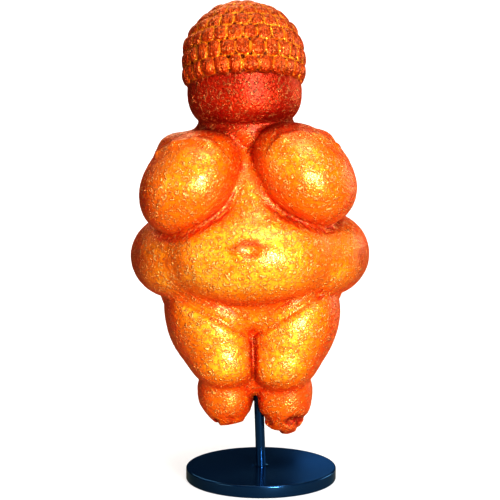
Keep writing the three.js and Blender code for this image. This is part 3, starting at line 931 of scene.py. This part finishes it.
def castResin():
    material, t = newMaterial("castResin")
    place = millimetres(t)
    tooth = useGroup(t, "fineGrain", {"Vector": place, "Size": resin["toothSize"], "Pits": resin["pits"]})
    grains = {"Vector": place, "Size": resin["grainSize"], "Width": resin["grainWidth"]}
    bent = useGroup(t, "bentGrain", grains)
    fine = useGroup(t, "bentGrain", grains | {"Size": resin["fineSize"], "Width": resin["fineWidth"]})
    grain = t.math("MAXIMUM", bent["Height"], t.times(fine["Height"], resin["fineHeight"]))
    rim = t.math("MAXIMUM", bent["Rim"], t.times(fine["Rim"], resin["fineRim"]))
    openAt, swell, gilt, washedAndShaded, capAt = (
        t.add("ShaderNodeAttribute", attribute_name=name).outputs["Fac"]
        for name in ("open", "swell", "gilt", "washAndShade", "cap")
    )
    mottle = ranged(t, tooth["Mottle"], *ranges["mottle"])
    # lit is painted light and shade: deep red in folds and hollows (partly patina, partly painted shade),
    # lighter on swells (painted light)
    lit = t.plus(t.plus(openAt, mottle), ranged(t, swell, *ranges["swell"]))
    lit = t.math("SUBTRACT", lit, t.times(washedAndShaded, resin["washShade"]))
    giltAndPaintedLightAt = t.times(ranged(t, lit, *ranges["gilt"]), t.plus(gilt, mottle))
    onHead = t.math("MAXIMUM", washedAndShaded, capAt)
    scrapedAt = t.times(ranged(t, giltAndPaintedLightAt, *ranges["scraped"]), t.math("SUBTRACT", 1.0, onHead))
    streak = toolStreaks(t, place)
    along = t.add("ShaderNodeMapping", {"Vector": place, "Scale": resin["strandScale"]}).outputs[0]
    strands = noiseOf(t, along, 1.0, 2.0)
    shoulder = t.times(ranged(t, swell, *ranges["belowKnotTop"]), ranged(t, swell, *ranges["aboveGroove"]))
    shoulder = t.times(shoulder, ranged(t, tooth["Mottle"], *ranges["knotGold"]))
    layers = (
        (ranged(t, lit, *ranges["washAndShade"]), "washAndShade"),
        (ranged(t, lit, *ranges["orange"]), "orange"),
        # gilded yellow: partly gilding, partly painted light on faces turned front, back and up
        (giltAndPaintedLightAt, "gilt"),
        (ranged(t, giltAndPaintedLightAt, *ranges["strawHighlight"]), "strawHighlight"),
        (t.times(rim, ranged(t, giltAndPaintedLightAt, *ranges["grainRimShade"])), "grainRimShade"),
        (t.times(grain, ranged(t, giltAndPaintedLightAt, *ranges["rubbedGrainAndGlint"])), "rubbedGrainAndGlint"),
        (t.times(scrapedAt, ranged(t, streak, *ranges["streak"])), "gilt"),
        (t.times(capAt, ranged(t, strands, *ranges["strand"])), "strand"),
        (t.times(capAt, shoulder), "knotGold"),
        (t.times(capAt, ranged(t, swell, *ranges["grooveShade"])), "grooveShade"),
    )
    colour = resin["deep"]
    for share, name in layers:
        colour = blendColours(t, share, colour, resin[name])
    height = t.times(grain, ranged(t, washedAndShaded, *ranges["grainHeight"]))
    for part, share in (
        (tooth["Height"], ranged(t, washedAndShaded, *ranges["toothHeight"])),
        (strands, t.times(capAt, resin["strandHeight"])),
        (streak, t.times(scrapedAt, resin["streakHeight"])),
    ):
        height = t.plus(height, t.times(part, share))
    edge = edgeOn(t)
    dull = ranged(t, openAt, *ranges["folds"], resin["foldDullness"], 0.0)
    for part, most in ((edge, resin["edgeDullness"]), (washedAndShaded, resin["washDullness"])):
        dull = t.math("MAXIMUM", dull, t.times(part, most))
    low, high = resin["roughness"]
    coatAt = ranged(t, onHead, 0, 1, resin["coat"], resin["coatOnHead"])
    knotMetal = t.times(capAt, resin["knotMetal"])
    metalAt = t.math("MAXIMUM", knotMetal, t.times(washedAndShaded, resin["washMetal"]))
    shader = t.add("ShaderNodeBsdfPrincipled", {
        "Base Color": colour,
        "Roughness": t.plus(ranged(t, tooth["Mottle"], 0.3, 0.7, high, low), dull),
        "Metallic": t.math("MAXIMUM", ranged(t, lit, *ranges["metal"]), metalAt),
        "Specular IOR Level": 1.0,
        "Specular Tint": (1.0, 0.88, 0.55, 1),
        "Coat Weight": t.times(coatAt, t.math("SUBTRACT", 1.0, edge)),
        "Coat Roughness": 0.33,
        "Coat Tint": (1.0, 0.88, 0.7, 1),
        "Normal": bumpOf(t, height, resin["bump"], resin["bumpDepth"]),
    })
    t.add("ShaderNodeOutputMaterial", {"Surface": shader.outputs[0]})
    return material


paint = {
    # the blue of this near black paint, with Metallic and the blue Specular Tint, is painted blue
    # reflection
    "colour": (0.010, 0.050, 0.13, 1),
    "dusty": (0.022, 0.07, 0.15, 1),
    "roughness": (0.1, 0.2),
    "sprayGrain": 0.9,
    "sprayPits": 0.15,
    "wipeSize": 3.0,
    "bump": 0.04,
    "bumpDepth": 0.1,
}


def blackPaint():
    material, t = newMaterial("blackPaint")
    place = millimetres(t)
    grains = {"Vector": place, "Size": paint["sprayGrain"], "Pits": paint["sprayPits"]}
    spray = useGroup(t, "fineGrain", grains)
    wipe = useGroup(t, "fineGrain", grains | {"Size": paint["wipeSize"], "Pits": 0.0})["Mottle"]
    colour = blendColours(t, ranged(t, wipe, 0.5, 0.75, 0.0, 0.25), paint["colour"], paint["dusty"])
    low, high = paint["roughness"]
    shader = t.add("ShaderNodeBsdfPrincipled", {
        "Base Color": colour,
        "Roughness": ranged(t, wipe, 0.3, 0.7, low, high),
        "Metallic": 0.7,
        "Specular IOR Level": 0.8,
        "Specular Tint": (0.45, 0.75, 1.0, 1),
        "Normal": bumpOf(t, spray["Height"], paint["bump"], paint["bumpDepth"]),
    })
    t.add("ShaderNodeOutputMaterial", {"Surface": shader.outputs[0]})
    return material


# Stand: a rod and a disc, both turned from a half outline

def turnedTree():
    sockets = [("Outline", "Object"), ("Points", "Int"), ("Sides", "Int"), ("Material", "Material")]
    group = geometryTree("turned", sockets)
    t = Tree(group)
    given = t.add("NodeGroupInput").outputs
    index = t.add("GeometryNodeInputIndex").outputs[0]
    around = t.plus(given["Sides"], 1)
    sheet = t.add("GeometryNodeMeshGrid", {"Vertices X": around, "Vertices Y": given["Points"]}).outputs[0]
    column = t.math("FLOOR", t.math("DIVIDE", t.plus(index, 0.5), given["Points"]))
    step = t.math("FLOORED_MODULO", index, given["Points"])
    outline = t.add("GeometryNodeObjectInfo", {"Object": given["Outline"]}).outputs["Geometry"]
    sample = t.add("GeometryNodeSampleIndex", data_type="FLOAT_VECTOR", domain="POINT")
    t.tree.links.new(outline, sample.inputs[0])
    value = next(socket for socket in sample.inputs if socket.name == "Value" and socket.enabled)
    t.tree.links.new(t.add("GeometryNodeInputPosition").outputs[0], value)
    t.tree.links.new(step, sample.inputs["Index"])
    profile = next(socket for socket in sample.outputs if socket.enabled)
    angle = t.times(t.math("DIVIDE", column, given["Sides"]), 2 * math.pi)
    place = t.turned(profile, angle, "Z_AXIS")
    sheet = t.add("GeometryNodeSetPosition", {"Geometry": sheet, "Position": place}).outputs[0]
    sheet = t.add("GeometryNodeMergeByDistance", {"Geometry": sheet, "Distance": 1e-6}).outputs[0]
    sheet = t.add("GeometryNodeSetMaterial", {"Geometry": sheet, "Material": given["Material"]}).outputs[0]
    t.add("NodeGroupOutput", {0: sheet})
    return group


# Points of a round corner of an outline, angles in degrees
def arc(centre, radius, start, end):
    angles = np.radians(np.linspace(start, end, stand["arcSteps"] + 1))
    return [(centre[0] + radius * math.cos(a), centre[1] + radius * math.sin(a)) for a in angles]


# A closed solid turned from an outline of (radius, height), from its bottom to its top on the axis
def turnedPiece(name, outline, material):
    edges = [(i, i + 1) for i in range(len(outline) - 1)]
    mesh = bpy.data.meshes.new(name + "Outline")
    mesh.from_pydata([(r * mm, 0, z * mm) for r, z in outline], edges, [])
    guide = newObject(name + "Outline", mesh)
    solid = grow(name, turnedTree(), {
        "Outline": guide, "Points": len(outline), "Sides": stand["sides"], "Material": material,
    })
    bpy.data.objects.remove(guide)
    points = pointsOf(solid)
    corners = [[points[corner] for corner in face.vertices[:3]] for face in solid.polygons]
    if sum(np.dot(a, np.cross(b, c)) for a, b, c in corners) < 0:
        solid.flip_normals()
    solid.shade_smooth()
    return newObject(name, solid)


def standRod(material):
    radius = stand["rodDiameter"] / 2
    bevel = stand["rodBevel"]
    bottom = stand["socketFloor"] - discTop / mm + figure["rodClearance"]
    top = figure["lift"] + figure["legCleft"] * unit / mm + figure["rodSeat"]
    outline = [(0, bottom), (radius - 2 * bevel, bottom)]
    outline += arc((radius - bevel, bottom + bevel), bevel, -90, 0)
    outline += [(radius, bottom + 3 * bevel), (radius, top - 3 * bevel)]
    outline += arc((radius - bevel, top - bevel), bevel, 0, 90)
    outline += [(radius - 2 * bevel, top), (0, top)]
    rod = turnedPiece("rod", outline, material)
    rod.data.transform(onStand)
    return rod


def standDisc(material):
    low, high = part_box("stand_base")
    radius = (high.x - low.x) / 2 / mm
    thick = discTop / mm
    edge = stand["edgeRadius"]
    hole = stand["rodDiameter"] / 2 + stand["socketPlay"]
    floor = stand["socketFloor"]
    outline = [(0, 0), (radius - 2 * edge, 0)]
    outline += arc((radius - edge, edge), edge, -90, 0)
    outline += [(radius, thick / 2)]
    outline += arc((radius - edge, thick - edge), edge, 0, 90)
    outline += [(radius - 2 * edge, thick), (hole + 1, thick), (hole, thick)]
    outline += [(hole, thick - stand["socketLip"]), (hole, floor), (0, floor)]
    return turnedPiece("disc", outline, material)


castFinish = castResin()
paintFinish = blackPaint()

figureMesh = fusedFigure(castFinish)
carveRelief(figureMesh)
figureMesh = thinned(figureMesh)
markFinish(figureMesh)
lean(figureMesh)
figureMesh.materials.clear()
figureMesh.materials.append(castFinish)
figureMesh.shade_smooth()
castFigure = newObject("castFigure", figureMesh)
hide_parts("figurine")
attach(castFigure, "root")
print("cast figure:", len(figureMesh.polygons), "faces")

rod = standRod(paintFinish)
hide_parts("stand_rod")
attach(rod, "root")
disc = standDisc(paintFinish)
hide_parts("stand_base")
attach(disc, "root")
print("stand turned")


# Floor, light and camera

studio = {
    "floorRadius": 3000,
    "floorColour": (0.93, 0.935, 0.94, 1),
    "backdrop": (0.93, 0.93, 0.93, 1),
    "glowFrom": 60,  # distance from the rod at which the lit table's own glow starts
    "glowTo": 500,
    "glowLeast": 0.5,
    "bounceColour": (0.7, 0.48, 0.3, 1),  # what the figure sees of the table
    "horizon": (0.02, 0.022, 0.028, 1),
    "horizonBand": (0.03, 0.2),
    "above": (0.025, 0.035, 0.05, 1),
    "lights": {
        "key": {"at": (190, -520, 70), "size": (130, 130), "watts": 3.9, "colour": (1, 0.95, 0.86)},
        "above": {"at": (110, -220, 480), "size": (260, 200), "watts": 0.9, "colour": (1, 0.97, 0.93)},
        "fill": {"at": (-460, -300, 120), "size": (240, 300), "watts": 0.8, "colour": (1, 0.62, 0.36)},
        "backCard": {"at": (170, 1000, 300), "size": (260, 130), "watts": 0.05, "colour": (0.35, 0.65, 1)},
        "rimLeft": {"at": (-300, 120, 260), "size": (60, 200), "watts": 0.04, "colour": (0.92, 0.96, 1)},
        "rimRight": {"at": (480, 270, 140), "size": (300, 300), "watts": 0.8, "colour": (1, 0.94, 0.82)},
        "rear": {"at": (-100, 560, 460), "size": (420, 300), "watts": 1.1, "colour": (1, 0.86, 0.66)},
        "top": {"at": (0, 60, 620), "size": (500, 500), "watts": 1.2, "colour": (1, 1, 1)},
    },
    "lightsAimAt": (0, 0, 70),
}


def buildStudio():
    bpy.ops.mesh.primitive_circle_add(vertices=96, radius=studio["floorRadius"] * mm, fill_type="NGON")
    floor = bpy.context.object
    floor.name = "floor"
    material, t = newMaterial("paleFloor")
    away = t.add("ShaderNodeVectorMath", {0: millimetres(t)}, operation="LENGTH").outputs["Value"]
    glow = ranged(t, away, studio["glowFrom"], studio["glowTo"], studio["glowLeast"], 1.0)
    seenStraight = t.add("ShaderNodeLightPath").outputs["Is Camera Ray"]
    pale = blendColours(t, seenStraight, studio["bounceColour"], studio["floorColour"])
    backdrop = blendColours(t, seenStraight, studio["horizon"], studio["backdrop"])
    shader = t.add("ShaderNodeBsdfPrincipled", {
        "Base Color": blendColours(t, glow, pale, (0, 0, 0, 1)),
        "Roughness": 0.9,
        "Emission Color": blendColours(t, glow, (0, 0, 0, 1), backdrop),
        "Emission Strength": 1.0,
    })
    t.add("ShaderNodeOutputMaterial", {"Surface": shader.outputs[0]})
    floor.data.materials.append(material)
    for name, light in studio["lights"].items():
        data = bpy.data.lights.new(name, "AREA")
        data.shape = "RECTANGLE"
        data.size = light["size"][0] * mm
        data.size_y = light["size"][1] * mm
        data.energy = light["watts"]
        data.color = light["colour"]
        lamp = newObject(name, data)
        lamp.location = Vector(light["at"]) * mm
        aim = (Vector(studio["lightsAimAt"]) * mm - lamp.location).to_track_quat("-Z", "Y")
        lamp.rotation_euler = aim.to_euler()
    world = bpy.data.worlds.new("studio")
    bpy.context.scene.world = world
    world.use_nodes = True
    t = Tree(world.node_tree)
    world.node_tree.nodes.clear()
    up = t.add("ShaderNodeSeparateXYZ", {0: t.add("ShaderNodeTexCoord").outputs["Generated"]}).outputs["Z"]
    colour = blendColours(t, ranged(t, up, *studio["horizonBand"]), studio["horizon"], studio["above"])
    seenStraight = t.add("ShaderNodeLightPath").outputs["Is Camera Ray"]
    colour = blendColours(t, seenStraight, colour, studio["backdrop"])
    sky = t.add("ShaderNodeBackground", {"Color": colour, "Strength": 1.0})
    t.add("ShaderNodeOutputWorld", {"Surface": sky.outputs[0]})


cameraSetup = {
    "height": 112,  # above the surface that the disc stands on
    "distance": 400,  # from the rod
    "aside": -2.9,
    "pitch": 7.316,  # degrees down
    "focalPixels": 1553.5,
    "framePixels": 500,
}


def buildCamera():
    data = bpy.data.cameras.new("camera")
    data.sensor_width = 36
    data.lens = data.sensor_width * cameraSetup["focalPixels"] / cameraSetup["framePixels"]
    data.clip_start = 0.01
    data.clip_end = 20
    camera = newObject("camera", data)
    camera.location = Vector((cameraSetup["aside"], -cameraSetup["distance"], cameraSetup["height"])) * mm
    camera.rotation_euler = (math.radians(90 - cameraSetup["pitch"]), 0, 0)
    bpy.context.scene.camera = camera


buildStudio()
buildCamera()
bpy.context.scene.view_settings.view_transform = "Standard"
bpy.context.scene.view_settings.look = "High Contrast"

print("done: figure, rod and disc in their studio")
